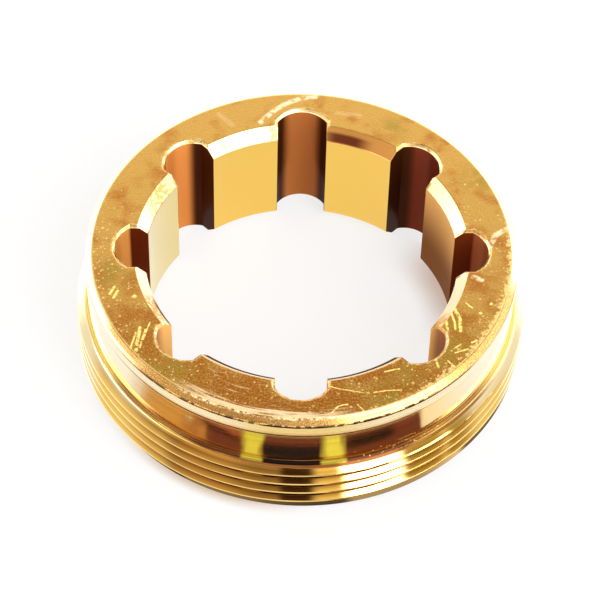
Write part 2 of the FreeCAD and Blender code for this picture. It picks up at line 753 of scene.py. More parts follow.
SCRATCHES = (
    Scratch(((-16.6, -10.9), (-16.9, -13.9)), 0.5),
    Scratch(((-16.0, -11.2), (-16.3, -12.4)), 0.38),
    Scratch(((-15.6, -10.2), (-16.2, -12.4)), 0.2),
    Scratch(((-17.0, -11.6), (-17.6, -14.2)), 0.28),
    Scratch(((-16.4, -12.8), (-16.5, -13.5)), 0.26),
    Scratch(((-17.4, -6.8), (-17.3, -6.8)), 0.6),
    Scratch(((-19.5, -7.0), (-19.1, -6.1)), 0.4),
    Scratch(((-19.9, -6.5), (-19.5, -5.6)), 0.4),
    Scratch(((15.9, -7.9), (16.4, -9.1), (16.4, -10.8)), 0.5),
    Scratch(((15.5, -8.4), (15.8, -9.6), (15.9, -10.6)), 0.34),
    Scratch(((14.9, -9.2), (15.1, -10.8)), 0.4),
    Scratch(((15.6, -13.1), (16.4, -12.5)), 0.25),
    Scratch(((15.8, -13.6), (17.1, -13.1)), 0.25),
    Scratch(((17.5, -12.3), (18.0, -12.0)), 0.3),
    Scratch(((13.7, -14.5), (14.0, -15.6)), 0.3),
    Scratch(((15.0, -14.7), (15.6, -15.4)), 0.25),
    Scratch(((18.5, -8.4), (18.6, -8.4)), 0.4),
    Scratch(((19.7, -7.2), (19.7, -7.1)), 0.4),
    Scratch(((17.1, -7.1), (17.7, -7.7)), 0.25),
    Scratch(((2.7, -18.1), (4.0, -18.5), (6.5, -18.9), (7.2, -18.9), (8.5, -18.6), (10.2, -18.5)), 0.14),
    Scratch(((3.1, -21.4), (3.8, -20.6), (4.7, -20.4)), 0.22),
    Scratch(((5.7, -20.4), (6.3, -21.1)), 0.14),
    Scratch(((8.5, -16.2), (10.0, -15.8)), 0.2),
)

SMEARS = (
    Scratch(((-4.6, 17.9), (-3.4, 19.3), (-2.0, 20.6), (-0.2, 21.5), (1.6, 21.8)), 0.9),
    Scratch(((19.4, -0.8), (19.9, 0.8), (20.6, 2.2), (21.9, 3.2)), 0.9),
    Scratch(((18.0, -3.6), (18.8, -4.0)), 0.8),
)

FAINT_SMEARS = (
    Scratch(((-9.2, 19.0), (-7.7, 17.4)), 0.9),
    Scratch(((3.8, 19.4), (6.3, 19.1)), 0.8),
)


@dataclass(frozen=True)
class Bloom:
    """A greenish patch of the plating on the top face, in millimetres."""

    centre: tuple[float, float]
    reach: float


BLOOMS = (
    Bloom((-14.0, -16.4), 5.0),
    Bloom((-19.8, -3.6), 3.4),
    Bloom((15.7, -13.6), 4.2),
    Bloom((11.1, -16.4), 2.8),
    Bloom((9.0, -19.4), 3.6),
    Bloom((15.6, -10.0), 1.8),
    Bloom((9.9, 17.2), 2.6),
    Bloom((19.0, 10.0), 3.0),
)


@dataclass
class Spot(Wiring):
    """Wiring of the plating that knows where a point of the surface lies, in millimetres and degrees.

    Turn is counted from the camera's side. Aside is 0 in front and behind and 1 at the two sides. Across,
    along and gap tell where the nearest slot is. The last five are masks of the zones.
    """

    place: Socket
    x: Socket
    y: Socket
    radius: Socket
    turn: Socket
    aside: Socket
    level: Socket
    across: Socket
    along: Socket
    gap: Socket
    top: Socket
    bore: Socket
    slot: Socket
    lip: Socket
    side: Socket

    def over(self, length: float, ramp: Ramp) -> Socket:
        """Mask by level, on a ramp that is counted from a length of the nut."""
        return self.rise(self.level, *past(length, ramp))

    def around(self, zone: Zone) -> Socket:
        """Mask of a stretch round the nut."""
        return self.window(self.turn, *zone)

    def patchy(self, grain: Grain, ramp: Ramp) -> Socket:
        """Mask of the patches of a noise."""
        return self.rise(self.noise(self.place, *grain), *ramp)


@dataclass
class Dress:
    """Colour of a face, and the mask of its bare or dull places."""

    colour: Socket
    dull: Socket


def past(length: float, ramp: Ramp) -> Ramp:
    """Move a ramp to a length of the nut.

    Args:
        length: the length, in metres.
        ramp: the ramp's ends from there, in millimetres.

    Returns:
        The ramp, in millimetres.
    """
    base = length / MM
    return base + ramp[0], base + ramp[1]


def between(low: float, high: float, zone: Zone) -> Zone:
    """Lay a zone between two lengths of the nut.

    Args:
        low: length at which the zone starts, in metres.
        high: length at which it ends, in metres.
        zone: how far the two ends are moved, and their softness, in millimetres.

    Returns:
        The zone, in millimetres.
    """
    return low / MM + zone[0], high / MM + zone[1], zone[2]


def mark_mask(spot: Spot, marks: tuple[Scratch, ...]) -> Feed:
    """Mask of marks on the top face, which wander a little.

    Args:
        spot: the point and its wiring.
        marks: the marks.

    Returns:
        1 in a mark and 0 beside it.
    """
    grain = 1.2
    swing = 0.12
    wander = spot.plug(spot.add("ShaderNodeTexNoise"), Vector=spot.place, Scale=grain)
    shift = spot.vector("MULTIPLY_ADD", wander.outputs["Color"], (swing, swing, 0.0), spot.place)
    middle = (swing * NOISE_MEAN, swing * NOISE_MEAN, 0.0)
    place = spot.vector("SUBTRACT", shift.outputs["Vector"], middle).outputs["Vector"]
    total: Feed = 0.0
    for mark in marks:
        for (x0, y0), (x1, y1) in zip(mark.path, mark.path[1:]):
            part = spot.group(stroke_effect(), Place=place, Start=(x0, y0, 0.0), End=(x1, y1, 0.0),
                              Width=mark.width)
            total = spot.most(part.outputs["Mask"], total)
    return total


@dataclass(frozen=True)
class TopFace:
    """Finish of the top face: cloudy plating with painted light and shade, brown and green patches, specks,
    scratches, painted highlights along the edges and a scuffed stretch.

    Radii of zones are counted from the face's outer edge.
    """

    form: TurnedOutside
    deep: Triple = (0.74, 0.28, 0.04)
    bright: Triple = (0.95, 0.55, 0.125)
    brown: Triple = (0.50, 0.17, 0.03)
    olive: Triple = (0.68, 0.43, 0.07)
    silver: Triple = SILVER
    pale: Triple = (1.0, 0.79, 0.31)
    scratched: Triple = (0.95, 0.84, 0.25)
    cloud_grain: Grain = (0.35, 3.0)
    cloud_ramp: Ramp = (0.36, 0.62)
    # Painted light: the plating grows brighter to the rear and the sides
    rearward_light: float = 0.006
    aside_light: float = 0.07
    aside_ramp: Ramp = (0.7, 1.0)
    coarse_ramp: Ramp = (0.42, 0.66)
    coarse_share: float = 0.32
    brown_ramp: Ramp = (0.58, 0.36)
    brown_share: float = 0.1
    # Painted shade: more brown towards the front
    front_shade: float = 0.5
    front_ramp: Ramp = (-4.0, -19.0)
    bloom_grain: Grain = (0.9, 3.0)
    bloom_ramp: Ramp = (0.3, 0.6)
    sheen_turn: Zone = (-31.0, 12.0, 6.0)
    sheen_belt: Ramp = (-1.5, -0.1)
    sheen_in_belt: float = 0.3
    sheen_round: float = 0.09
    sheen_outward: float = 4.2
    sheen_grain: Grain = (1.0, 3.0)
    sheen_ramp: Ramp = (0.58, 0.78)
    sheen_share: float = 0.8
    smear_grain: Grain = (1.6, 4.0)
    smear_ramp: Ramp = (0.3, 0.56)
    smear_share: float = 0.9
    faint_share: float = 0.18
    cluster_grain: Grain = (0.45, 2.0)
    cluster_ramp: Ramp = (0.42, 0.62)
    cluster_share: float = 0.75
    margin_ramp: Ramp = (-2.0, -0.4)
    margin_share: float = 0.3
    speck_front: Ramp = (12.0, 0.0)
    speck_scales: tuple[float, float] = (1.6, 2.6)
    speck_share: float = 0.65
    # Painted highlights along the slot rims and the outer edge
    rim_grain: Grain = (2.5, 2.0)
    rim_ragged: float = 0.7
    rim_ramp: Ramp = (0.65, 0.25)
    glint_grain: Grain = (0.8, 2.0)
    glint_ramp: Ramp = (0.35, 0.6)
    edge_ramp: Ramp = (-0.25, 0.0)
    edge_share: float = 0.7
    scuff_turn: Zone = (31.0, 101.0, 8.0)
    scuff_grain: Grain = (2.6, 3.0)
    scuff_ragged: float = 2.2
    scuff_ramp: Ramp = (0.5, 1.0)
    scuff_share: float = 0.8

    def dress(self, spot: Spot, grain: Socket, scratches: Socket) -> Dress:
        """Colour the top face.

        Args:
            spot: the point and its wiring.
            grain: the fine grain of the plating.
            scratches: mask of the scratches.

        Returns:
            The colour, and the mask of the bright places: specks, painted highlights along the edges,
            scratches and silver.
        """
        green = self.blooms(spot)
        mottle = spot.patchy(self.bloom_grain, self.bloom_ramp)
        colour = spot.mix(spot.product(green, mottle), self.clouds(spot, grain), self.olive)
        silver = spot.most(self.sheen(spot), self.smears(spot))
        colour = spot.mix(silver, colour, self.silver)
        # Specks, the painted highlights along the edges and the scuffs
        rubbed = spot.most(self.specks(spot, green), self.wear(spot))
        colour = spot.mix(rubbed, colour, self.pale)
        colour = spot.mix(scratches, colour, self.scratched)
        return Dress(colour, spot.most(rubbed, scratches, silver))

    def clouds(self, spot: Spot, grain: Socket) -> Socket:
        """Colour of the plating, with painted light that makes it brighter to the rear and the sides and
        painted shade that makes it browner in front.

        Args:
            spot: the point and its wiring.
            grain: the fine grain of the plating.

        Returns:
            The colour.
        """
        cloud = spot.noise(spot.place, *self.cloud_grain)
        # Painted light, brighter to the rear and the sides
        cloud = spot.math("MULTIPLY_ADD", spot.y, self.rearward_light, cloud)
        cloud = spot.math("MULTIPLY_ADD", spot.rise(spot.aside, *self.aside_ramp), self.aside_light, cloud)
        colour = spot.mix(spot.rise(cloud, *self.cloud_ramp), self.deep, self.bright)
        coarse = spot.product(spot.rise(grain, *self.coarse_ramp), self.coarse_share)
        colour = spot.mix(coarse, colour, self.bright)
        # Painted shade, browner towards the front
        front = spot.rise(spot.y, *self.front_ramp)
        share = spot.math("MULTIPLY_ADD", front, self.front_shade, self.brown_share)
        return spot.mix(spot.product(spot.rise(grain, *self.brown_ramp), share), colour, self.brown)

    def blooms(self, spot: Spot) -> Feed:
        """Mask of the greenish patches.

        Args:
            spot: the point and its wiring.

        Returns:
            1 in the middle of a patch.
        """
        green: Feed = 0.0
        for bloom in BLOOMS:
            centre = (*bloom.centre, 0.0)
            mask = spot.group(patch_effect(), Place=spot.place, Centre=centre, Reach=bloom.reach)
            green = spot.most(mask.outputs["Mask"], green)
        return green

    def sheen(self, spot: Spot) -> Feed:
        """Mask of the broken silver arcs along the front edge.

        Args:
            spot: the point and its wiring.

        Returns:
            The mask.
        """
        around = spot.product(spot.turn, self.sheen_round)
        arc = spot.add("ShaderNodeCombineXYZ", around, spot.product(spot.radius, self.sheen_outward))
        broken = spot.noise(arc.outputs["Vector"], *self.sheen_grain)
        belt = spot.rise(spot.radius, *past(self.form.top_edge, self.sheen_belt))
        streaks = spot.rise(spot.math("MULTIPLY_ADD", belt, self.sheen_in_belt, broken), *self.sheen_ramp)
        return spot.product(spot.around(self.sheen_turn), streaks, self.sheen_share)

    def smears(self, spot: Spot) -> Feed:
        """Mask of the silver smears.

        Args:
            spot: the point and its wiring.

        Returns:
            The mask.
        """
        rubbed = spot.patchy(self.smear_grain, self.smear_ramp)
        strong = spot.product(mark_mask(spot, SMEARS), rubbed, self.smear_share)
        return spot.most(strong, spot.product(mark_mask(spot, FAINT_SMEARS), self.faint_share))

    def specks(self, spot: Spot, green: Feed) -> Feed:
        """Mask of the bright specks, which gather in clusters, in green patches and along the edge.

        Args:
            spot: the point and its wiring.
            green: mask of the green patches.

        Returns:
            The mask.
        """
        cluster = spot.patchy(self.cluster_grain, self.cluster_ramp)
        cluster = spot.product(spot.most(cluster, green), self.cluster_share)
        margin = spot.rise(spot.radius, *past(self.form.top_edge, self.margin_ramp))
        share = spot.math("MULTIPLY_ADD", margin, self.margin_share, cluster)
        share = spot.product(share, spot.rise(spot.y, *self.speck_front))
        masks = []
        for scale in self.speck_scales:
            dots = spot.group(speck_effect(), Place=spot.place, Scale=scale, Share=share)
            masks.append(dots.outputs["Mask"])
        return spot.product(spot.most(*masks), self.speck_share)

    def wear(self, spot: Spot) -> Feed:
        """Mask of the painted highlights along the slot rims and the outer edge, and of the edge's scuffed
        stretch at the right, which is wear.

        Args:
            spot: the point and its wiring.

        Returns:
            The mask.
        """
        # Painted highlights along the slot rims and the outer edge
        ragged = spot.noise(spot.place, *self.rim_grain)
        ragged = spot.math("MULTIPLY_ADD", ragged, self.rim_ragged, spot.gap)
        patchy = spot.patchy(self.glint_grain, self.glint_ramp)
        rims = spot.product(spot.rise(ragged, *self.rim_ramp), patchy)
        edge = spot.rise(spot.radius, *past(self.form.top_edge, self.edge_ramp))
        torn = spot.noise(spot.place, *self.scuff_grain)
        torn = spot.math("MULTIPLY_ADD", torn, self.scuff_ragged, spot.radius)
        torn = spot.rise(torn, *past(self.form.top_edge, self.scuff_ramp))
        scuff = spot.product(torn, spot.around(self.scuff_turn), self.scuff_share)
        return spot.most(spot.product(spot.most(rims, edge), self.edge_share), scuff)


class LipNick(Enum):
    """Orange stretches painted on the lips where their reflection is darker, in degrees from the camera's
    side.
    """

    REAR_LEFT = (-150.0, -148.0, 0.7)
    BACK_LEFT = (-169.0, -167.0, 0.7)
    LEFT = (-122.0, -107.0, 4.0)
    FRONT_LEFT = (-67.0, -55.0, 3.0)
    FRONT_RIGHT = (51.0, 62.0, 3.0)


@dataclass(frozen=True)
class BoreFace:
    """Finish of the bore: gold lands, pale lips and brown slots, with painted light, shade and reflections.

    Levels of zones are counted from the top face, and turns are degrees from the camera's side. The ramps of
    the slots run along X and Y, off a slot's wall, or inwards from a slot's end.
    """

    form: SlottedBore
    gold: Triple = (0.87, 0.55, 0.10)
    # Painted shade on the land at the right: tan, and brown towards the bottom
    brown: Triple = (0.23, 0.09, 0.03)
    tan: Triple = (0.68, 0.37, 0.12)
    # Painted reflection on the land at the left, paler and greener
    green: Triple = (0.76, 0.61, 0.24)
    lip_gold: Triple = (0.98, 0.80, 0.44)
    # Painted highlight on the lips beside the front ones
    lip_white: Triple = (1.0, 0.95, 0.68)
    # Painted reflections on the lips: orange and red stretches
    lip_orange: Triple = (0.80, 0.40, 0.11)
    lip_red: Triple = (0.20, 0.05, 0.015)
    # Painted shade line at the foot of the front lips
    line_brown: Triple = LINE_BROWN
    rim_tan: Triple = (0.55, 0.31, 0.08)
    # Painted light and shade of the slots
    slot_left: Triple = (0.74, 0.265, 0.06)
    slot_right: Triple = (0.17, 0.03, 0.012)
    slot_side: Triple = (0.05, 0.012, 0.003)
    floor_left: Triple = (0.58, 0.24, 0.045)
    floor_right: Triple = (0.28, 0.075, 0.025)
    wall_near: Triple = (0.13, 0.022, 0.005)
    wall_front: Triple = (0.85, 0.48, 0.14)
    floor_front: Triple = (0.34, 0.13, 0.045)
    brown_turn: Zone = (93.0, 133.0, 6.0)
    green_turn: Zone = (-133.0, -93.0, 6.0)
    brown_level: Ramp = (-0.5, -10.0)
    white_turn: Zone = (50.0, 84.0, 3.0)
    orange_turn: Zone = (143.0, 174.0, 3.0)
    red_turn: Zone = (157.0, 172.0, 4.0)
    red_level: Ramp = (-0.3, -0.6)
    nick_grain: Grain = (2.6, 3.0)
    nick_ramp: Ramp = (0.36, 0.56)
    line_turn: Zone = (-66.0, 58.0, 3.0)
    line_level: Ramp = (-0.4, -0.6)
    line_ends: Ramp = (48.0, 55.0)
    line_drop: float = 0.45
    rim_gap: Ramp = (0.02, -0.02)
    rim_front: Ramp = (19.0, 14.0)
    rim_grain: Grain = (0.9, 3.0)
    rim_ramp: Ramp = (0.56, 0.44)
    rightward: Ramp = (-15.0, 13.0)
    wall_ramp: Ramp = (-1.25, -0.35)
    near_ramp: Ramp = (5.0, 3.0)
    floor_ramp: Ramp = (-1.6, -1.2)
    floor_rightward: Ramp = (8.0, 18.0)
    front_ramp: Ramp = (-4.0, -6.0)
    front_floor: Ramp = (-2.5, -0.9)
    front_rightward: Ramp = (-5.0, 5.0)
    front_shift: float = 1.2

    def shaded_land(self, spot: Spot) -> Feed:
        """Mask of the land at the right, which carries painted shade."""
        return spot.product(spot.around(self.brown_turn), spot.bore, spot.rest(spot.lip))

    def front_line(self, spot: Spot) -> Feed:
        """Mask of the painted shade line along the foot of the front lips.

        Args:
            spot: the point and its wiring.

        Returns:
            1 on that line.
        """
        ends = spot.rise(spot.math("ABSOLUTE", spot.turn), *self.line_ends)
        level = spot.math("MULTIPLY_ADD", ends, self.line_drop, spot.level)
        foot = spot.product(spot.rise(level, *past(self.form.height, self.line_level)), spot.lip)
        return spot.product(spot.around(self.line_turn), foot)

    def highlit_lips(self, spot: Spot) -> Feed:
        """Mask of the two lips beside the front ones, which carry a painted white highlight."""
        turn = spot.math("ABSOLUTE", spot.turn)
        return spot.product(spot.window(turn, *self.white_turn), spot.lip)

    def colour(self, spot: Spot, line: Feed, white: Feed) -> Socket:
        """Colour the bore.

        Args:
            spot: the point and its wiring.
            line: mask of the dark line on the front lips.
            white: mask of the white lips.

        Returns:
            The colour.
        """
        # Painted shade: the land at the right turns tan, and brown towards the bottom
        low = spot.over(self.form.height, self.brown_level)
        dark = spot.mix(low, self.tan, self.brown)
        land = spot.mix(spot.around(self.brown_turn), self.gold, dark)
        # Painted reflection: the land at the left is paler and greener
        land = spot.mix(spot.around(self.green_turn), land, self.green)
        land = spot.mix(spot.lip, land, self.lips(spot, line, white))
        return spot.mix(spot.slot, land, self.slots(spot))

    def lips(self, spot: Spot, line: Feed, white: Feed) -> Socket:
        """Colour of the chamfers round the bore and the slots' mouths, with painted reflections: pale gold,
        white highlights, orange and red stretches where they mirror darker things, and a painted shade line
        at the front; and a mottled tan rim round the slots in front.

        Args:
            spot: the point and its wiring.
            line: mask of the dark line on the front lips.
            white: mask of the white lips.

        Returns:
            The colour.
        """
        lip = spot.mix(white, self.lip_gold, self.lip_white)
        # Painted reflections: orange at the rear, red low at the rear, orange where the highlight breaks
        lip = spot.mix(spot.around(self.orange_turn), lip, self.lip_orange)
        low = spot.over(self.form.height, self.red_level)
        lip = spot.mix(spot.product(spot.around(self.red_turn), low), lip, self.lip_red)
        uneven = spot.patchy(self.nick_grain, self.nick_ramp)
        for nick in LipNick:
            mask = spot.product(spot.around(nick.value), uneven)
            lip = spot.mix(mask, lip, self.lip_orange)
        lip = spot.mix(line, lip, self.line_brown)
        rim = spot.product(spot.rise(spot.gap, *self.rim_gap), spot.rise(spot.y, *self.rim_front))
        mottle = spot.patchy(self.rim_grain, self.rim_ramp)
        return spot.mix(spot.product(rim, mottle), lip, self.rim_tan)

    def slots(self, spot: Spot) -> Socket:
        """Colour of the slots, in painted light and shade: lit at the left, shaded at the right and along
        their walls, paler in front.

        Args:
            spot: the point and its wiring.

        Returns:
            The colour.
        """
        rear = spot.mix(spot.rise(spot.x, *self.rightward), self.slot_left, self.slot_right)
        walls = spot.rise(spot.across, *past(self.form.slot_width / 2, self.wall_ramp))
        slot = spot.mix(walls, rear, self.slot_side)
        near = spot.rise(spot.y, *self.near_ramp)
        slot = spot.mix(near, slot, self.wall_near)
        floor = spot.rise(spot.along, *past(self.form.slot_reach, self.floor_ramp))
        paint = spot.mix(spot.rise(spot.x, *self.floor_rightward), self.floor_left, self.floor_right)
        slot = spot.mix(spot.product(floor, near), slot, paint)
        shift = spot.rise(spot.x, *self.front_rightward)
        depth = spot.math("MULTIPLY_ADD", shift, self.front_shift, spot.along)
        depth = spot.rise(depth, *past(self.form.slot_reach, self.front_floor))
        front = spot.mix(depth, self.wall_front, self.floor_front)
        return spot.mix(spot.rise(spot.y, *self.front_ramp), slot, front)


@dataclass(frozen=True)
class OutsideFace:
    """Finish of the outside: gold in front, pale to the sides where it mirrors the bright floor, with
    painted shade in the corners and a rim chamfer with painted reflections and silver wear.

    Levels of zones are counted from the size that each method names, and turns are degrees from the camera's
    side. The ramps named aside run from 0 in front to 1 at the two sides.
    """

    form: TurnedOutside
    gold: Triple = (0.92, 0.60, 0.17)
    # Painted reflection of the bright floor on the sides and the rim's wall
    pale: Triple = (0.91, 0.75, 0.44)
    wall_pale: Triple = (1.0, 0.78, 0.44)
    # Painted shade in the thread's grooves and along the corner's seam
    groove_brown: Triple = (0.30, 0.13, 0.022)
    # Painted shade along the foot's lead-in edge
    foot_dark: Triple = (0.07, 0.042, 0.012)
    foot_olive: Triple = (0.16, 0.11, 0.045)
    # Painted shade line under the rim
    step_black: Triple = (0.02, 0.01, 0.005)
    # Painted shade and reflections on the flank and the corner at the neck's foot
    flank_brown: Triple = (0.24, 0.09, 0.025)
    corner_brown: Triple = (0.10, 0.035, 0.012)
    corner_yellow: Triple = (0.36, 0.29, 0.03)
    corner_black: Triple = (0.012, 0.007, 0.006)
    corner_gold: Triple = (0.30, 0.15, 0.035)
    corner_olive: Triple = (0.70, 0.52, 0.13)
    gilt: Triple = (0.80, 0.48, 0.12)
    # Painted reflections on the rim chamfer: mottled brown, and a white rear
    rim_brown: Triple = (0.36, 0.16, 0.035)
    rim_gold: Triple = (0.84, 0.52, 0.15)
    rim_white: Triple = (1.0, 0.90, 0.70)
    silver: Triple = SILVER
    line_brown: Triple = LINE_BROWN
    pale_aside: Ramp = (0.55, 0.82)
    flared_aside: Ramp = (0.86, 0.96)
    lined_aside: Ramp = (0.92, 0.78)
    front_aside: Ramp = (0.62, 0.44)
    pale_level: Ramp = (0.0, 0.1)
    wall_level: Zone = (0.05, -0.08, 0.04)
    wall_aside: Ramp = (0.1, 0.4)
    groove_level: Ramp = (0.25, 0.1)
    groove_depth: Ramp = (0.0, -0.7)
    groove_share: float = 0.95
    groove_aside: Ramp = (0.6, 0.8)
    groove_loss: float = 0.5
    lit_turn: Zone = (13.0, 28.0, 3.0)
    lit_loss: float = 0.75
    flared_loss: float = 0.9
    foot_level: Ramp = (0.43, 0.23)
    foot_aside: Ramp = (0.5, 0.8)
    step_level: Zone = (-0.28, 0.03, 0.04)
    step_turn: Zone = (-60.0, 35.0, 6.0)
    dark_level: Zone = (-0.333, 0.267, 0.03)
    seam_level: Zone = (-0.353, -0.213, 0.04)
    flank_level: Zone = (-0.333, 0.007, 0.04)
    corner_level: Zone = (-0.163, 0.267, 0.03)
    brow_level: Zone = (0.237, 0.657, 0.06)
    brow_share: float = 0.6
    yellow_turn: Zone = (-14.3, 13.0, 0.6)
    black_turn: Zone = (-8.7, 6.4, 0.6)
    strewn_turn: Zone = (14.0, 40.0, 3.0)
    strewn_level: Ramp = (1.407, -0.193)
    strewn_from: Ramp = (-0.243, -0.143)
    strewn_scale: float = 3.4
    smooth_level: Ramp = (0.207, 0.307)
    chamfer_level: Ramp = (-0.05, 0.05)
    mottle_grain: Grain = (9.0, 6.0)
    mottle_ramp: Ramp = (0.32, 0.74)
    brown_front: Zone = (-48.0, 12.0, 6.0)
    brown_right: Zone = (40.0, 80.0, 5.0)
    brown_left: Zone = (-62.0, -44.0, 4.0)
    left_level: Ramp = (0.2, 0.35)
    crown_turn: Zone = (-32.0, 13.0, 5.0)
    crown_grain: Grain = (1.4, 3.0)
    crown_uneven: float = 0.3
    crown_level: Ramp = (-0.14, 0.08)
    crown_wear: Grain = (3.2, 4.0)
    crown_ramp: Ramp = (0.38, 0.6)
    crown_dull: float = 0.8
    dash_grain: Grain = (1.3, 3.0)
    dash_ramp: Ramp = (0.57, 0.49)
    dash_level: Zone = (-0.18, 0.12, 0.05)
    dash_turn: Zone = (-45.0, 36.0, 4.0)
    row_turn: Zone = (12.0, 42.0, 4.0)
    row_grain: Grain = (9.0, 2.0)
    row_ramp: Ramp = (0.52, 0.6)
    rear_ramp: Ramp = (-4.5, -2.0)

    def corner_zone(self, spot: Spot, zone: Zone) -> Socket:
        """Mask of a zone that is counted from the neck's foot."""
        return spot.window(spot.level, *between(self.form.neck_foot, self.form.neck_foot, zone))

    def step_line(self, spot: Spot) -> Feed:
        """Mask of the painted shade line under the rim, in front."""
        level = spot.window(spot.level, *between(self.form.rim_foot, self.form.rim_foot, self.step_level))
        return spot.product(level, spot.around(self.step_turn))

    def dark(self, spot: Spot) -> Feed:
        """Mask of the painted shade in the corner and under the rim."""
        lines = spot.most(self.corner_zone(spot, self.dark_level), self.step_line(spot))
        return spot.product(lines, spot.side)

    def chamfer(self, spot: Spot) -> Socket:
        """Mask of all above the chamfer's foot."""
        return spot.over(self.form.chamfer_foot, self.chamfer_level)

    def smooth(self, spot: Spot) -> Feed:
        """Mask of the neck, the rim and the two far sides."""
        neck = spot.over(self.form.neck_foot, self.smooth_level)
        return spot.most(neck, spot.rise(spot.aside, *self.flared_aside))

    def dress(self, spot: Spot) -> Dress:
        """Colour the outside.

        Args:
            spot: the point and its wiring.

        Returns:
            The colour, and the mask of the dull places.
        """
        colour = self.corner(spot, self.turned(spot))
        specks = self.strewn(spot)
        colour = spot.mix(specks, colour, self.gilt)
        crown = self.crown(spot)
        colour = self.rim(spot, colour, crown)
        return Dress(colour, spot.most(specks, spot.product(crown, self.crown_dull)))

    def turned(self, spot: Spot) -> Socket:
        """Colour of the neck, the rim's wall, the thread and the foot's edge, with painted reflection on the
        pale sides and the rim's wall and painted shade in the grooves and on the foot's edge.

        Args:
            spot: the point and its wiring.

        Returns:
            The colour.
        """
        form = self.form
        # Painted reflection: the sides and the rim's wall turn pale
        flared = spot.rise(spot.aside, *self.flared_aside)
        over_thread = spot.over(form.thread_top, self.pale_level)
        pale = spot.product(spot.rise(spot.aside, *self.pale_aside), over_thread)
        colour = spot.mix(spot.most(pale, flared), self.gold, self.pale)
        wall = spot.window(spot.level, *between(form.rim_foot, form.chamfer_foot, self.wall_level))
        wall = spot.product(wall, spot.rise(spot.aside, *self.wall_aside))
        colour = spot.mix(wall, colour, self.wall_pale)
        # Painted shade deep in the thread's grooves, less at the sides and where the softbox lights them
        groove = spot.rise(spot.radius, *past(form.thread_radius, self.groove_depth))
        groove = spot.product(groove, spot.over(form.thread_top, self.groove_level))
        loss = spot.product(spot.rise(spot.aside, *self.groove_aside), self.groove_loss)
        kept = spot.math("SUBTRACT", self.groove_share, loss)
        loss = spot.product(spot.around(self.lit_turn), self.lit_loss)
        faint = spot.math("MULTIPLY_ADD", flared, -self.flared_loss, 1.0)
        kept = spot.product(spot.math("SUBTRACT", kept, loss), faint)
        colour = spot.mix(spot.product(groove, kept), colour, self.groove_brown)
        # Painted shade along the foot's lead-in edge
        foot = spot.mix(spot.rise(spot.aside, *self.foot_aside), self.foot_dark, self.foot_olive)
        edge = spot.product(spot.over(form.lead_in, self.foot_level), faint)
        return spot.mix(edge, colour, foot)

    def corner(self, spot: Spot, colour: Socket) -> Socket:
        """Add the painted shade under the rim, and the painted shade and reflections on the flank and corner
        at the neck's foot.

        Args:
            spot: the point and its wiring.
            colour: the colour under them.

        Returns:
            The colour.
        """
        colour = spot.mix(self.step_line(spot), colour, self.step_black)
        front = spot.rise(spot.aside, *self.front_aside)
        lined = spot.rise(spot.aside, *self.lined_aside)
        beside = spot.product(spot.rest(front), lined)
        seam = spot.product(self.corner_zone(spot, self.seam_level), beside)
        colour = spot.mix(seam, colour, self.groove_brown)
        flank = spot.product(self.corner_zone(spot, self.flank_level), front)
        colour = spot.mix(flank, colour, self.flank_brown)
        # Painted reflection of the studio in the corner: yellow bars and a black field in front, browns and
        # golds beside
        stripes = spot.mix(lined, self.corner_olive, self.corner_gold)
        stripes = spot.mix(front, stripes, self.corner_brown)
        stripes = spot.mix(spot.around(self.yellow_turn), stripes, self.corner_yellow)
        stripes = spot.mix(spot.around(self.black_turn), stripes, self.corner_black)
        colour = spot.mix(self.corner_zone(spot, self.corner_level), colour, stripes)
        brow = spot.product(self.corner_zone(spot, self.brow_level), beside, self.brow_share)
        return spot.mix(brow, colour, self.corner_gold)

    def strewn(self, spot: Spot) -> Feed:
        """Mask of the gilt specks over the neck's foot, at the right.

        Args:
            spot: the point and its wiring.

        Returns:
            The mask.
        """
        low = spot.over(self.form.neck_foot, self.strewn_level)
        share = spot.product(spot.around(self.strewn_turn), low)
        dots = spot.group(speck_effect(), Place=spot.place, Scale=self.strewn_scale, Share=share)
        return spot.product(dots.outputs["Mask"], spot.over(self.form.neck_foot, self.strewn_from))

    def crown(self, spot: Spot) -> Feed:
        """Mask of the silver wear along the chamfer's upper edge, in front.

        Args:
            spot: the point and its wiring.

        Returns:
            The mask.
        """
        uneven = spot.noise(spot.place, *self.crown_grain)
        uneven = spot.math("MULTIPLY_ADD", uneven, self.crown_uneven, spot.level)
        upper = spot.rise(uneven, *past(self.form.height, self.crown_level))
        worn = spot.patchy(self.crown_wear, self.crown_ramp)
        return spot.product(spot.around(self.crown_turn), upper, worn)

    def rim(self, spot: Spot, colour: Socket, crown: Feed) -> Socket:
        """Add the chamfer's mottled brown painted reflection, its silver wear, its broken dark lines of
        painted shade and its white rear, a painted highlight.

        Args:
            spot: the point and its wiring.
            colour: the colour under them.
            crown: mask of the silver wear.

        Returns:
            The colour.
        """
        foot = self.form.chamfer_foot
        chamfer = self.chamfer(spot)
        # Painted reflection: mottled brown on the chamfer in front and at the sides
        mottle = spot.patchy(self.mottle_grain, self.mottle_ramp)
        left = spot.over(foot, self.left_level)
        left = spot.product(spot.around(self.brown_left), left)
        front = spot.around(self.brown_front)
        painted_dark = spot.most(front, spot.around(self.brown_right), left)
        brown = spot.mix(mottle, self.rim_brown, self.rim_gold)
        colour = spot.mix(spot.product(chamfer, painted_dark), colour, brown)
        colour = spot.mix(crown, colour, self.silver)
        # Broken dark lines of painted shade
        broken = spot.patchy(self.dash_grain, self.dash_ramp)
        dashes = spot.window(spot.level, *between(foot, foot, self.dash_level))
        dashes = spot.product(dashes, spot.around(self.dash_turn), broken)
        colour = spot.mix(dashes, colour, self.line_brown)
        rows = spot.rise(spot.lines(spot.level, *self.row_grain), *self.row_ramp)
        rows = spot.product(rows, spot.around(self.row_turn), chamfer, broken)
        colour = spot.mix(rows, colour, self.line_brown)
        # Painted highlight: the chamfer turns white away from the front
        rear = spot.product(chamfer, spot.rise(spot.y, *self.rear_ramp))
        return spot.mix(rear, colour, self.rim_white)


